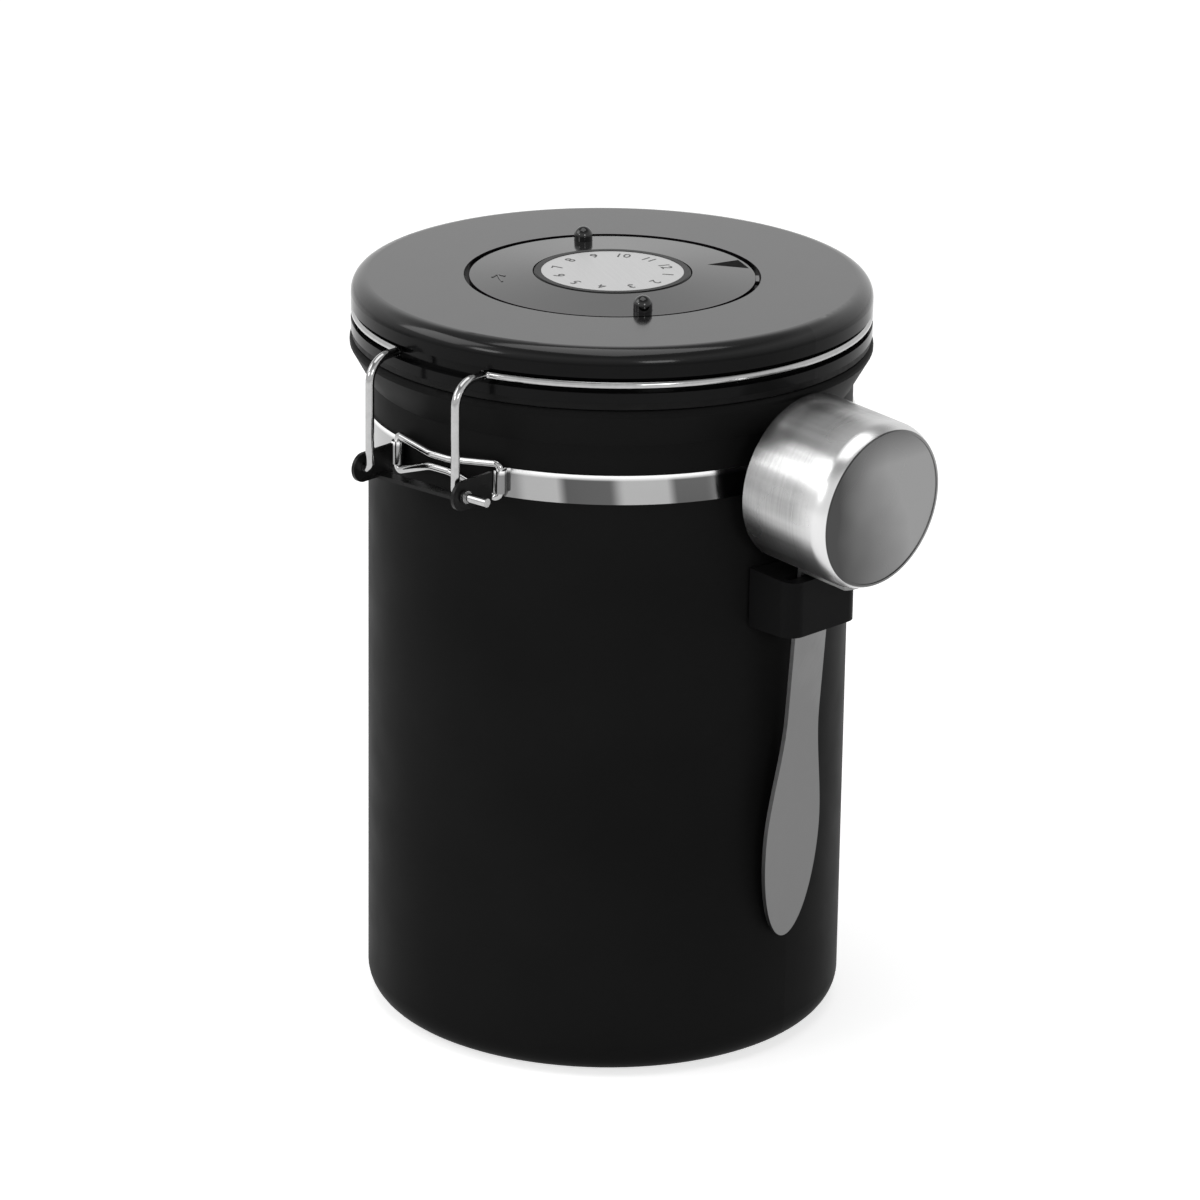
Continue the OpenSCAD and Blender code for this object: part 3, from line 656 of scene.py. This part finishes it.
def camera():
    """Camera at the photograph's angle, shifted so that the object stands in the same place."""
    lens = bpy.data.cameras.new("camera")
    lens.sensor_width = SENSOR * 1000
    lens.lens = FOCAL_PIXELS / PHOTO * SENSOR * 1000
    lens.shift_x = (PHOTO / 2 - LOOK_AT_PIXEL[0]) / PHOTO
    lens.shift_y = (LOOK_AT_PIXEL[1] - PHOTO / 2) / PHOTO
    holder = bpy.data.objects.new("camera", lens)
    bpy.context.scene.collection.objects.link(holder)
    toward = direction(CAMERA_AZIMUTH, CAMERA_ELEVATION)
    holder.location = LOOK_AT + toward * CAMERA_DISTANCE
    level = toward.to_track_quat("Z", "Y").to_matrix().to_4x4()
    roll = Matrix.Rotation(math.radians(CAMERA_ROLL), 4, "Z")
    holder.rotation_euler = (level @ roll).to_euler()
    bpy.context.scene.camera = holder


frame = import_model()

wire = bright_wire()
ring_plastic = moulded_plastic("ring_plastic", 0.006, 0.008, 0.03, (0.10, 0.14)).material
white = soft("white_plastic", (0.68, 0.67, 0.63), (0.76, 0.75, 0.71), 0.42, 0.08)
dress(
    frame["nodes"],
    {
        "canister_body": black_paint(),
        "neck_band": polished_band(),
        "catch_frame": wire,
        "hinge_bracket": bracket_steel(),
        "clip_pad": soft("foam", (0.03, 0.03, 0.03), (0.05, 0.05, 0.05), 0.85, 0.6),
        "scoop_clip": moulded_plastic("clip_plastic", 0.006, 0.008, 0.2, (0.4, 0.5), 0.04).material,
        "lid_cover": lid_cover_plastic(),
        "lid_liner": moulded_plastic("liner_plastic", 0.009, 0.012, 0.12, (0.36, 0.44), 0.06).material,
        "lid_gasket": matte_black("seal_rubber", 0.007, 0.5, 0.08),
        "dial_cap": moulded_plastic("cap_plastic", 0.003, 0.004, 0.03, (0.3, 0.36), 0.1).material,
        "dial_disc": disc_steel(),
        "dial_screw": screw_steel(),
        "valve_body": white,
        "valve_filter": soft("filter_paper", (0.78, 0.76, 0.7), (0.88, 0.86, 0.81), 0.9, 0.7),
        "valve_cap": white,
        "valve_membrane": soft("valve_rubber", (0.42, 0.2, 0.08), (0.52, 0.26, 0.11), 0.45, 0.1),
        "date_ring": ring_plastic,
        "finger_pegs": gloss_black(),
        "pointer_inlay": matte_black("pointer_black", 0.003, 0.6, 0.02),
        "bail_wire": wire,
        "wire_stops": bracket_steel(),
        "latch_lever": dark_steel(),
        "scoop_cup": cup_steel(),
        "scoop_handle": handle_steel(),
    },
)
numerals(soft("ink", (0.05, 0.05, 0.05), (0.08, 0.08, 0.08), 0.5, 0.1))
turn_arrow(ring_plastic)
detent(ring_plastic)

floor()
world()
lamps()
camera()
bpy.context.scene.view_settings.view_transform = "Standard"
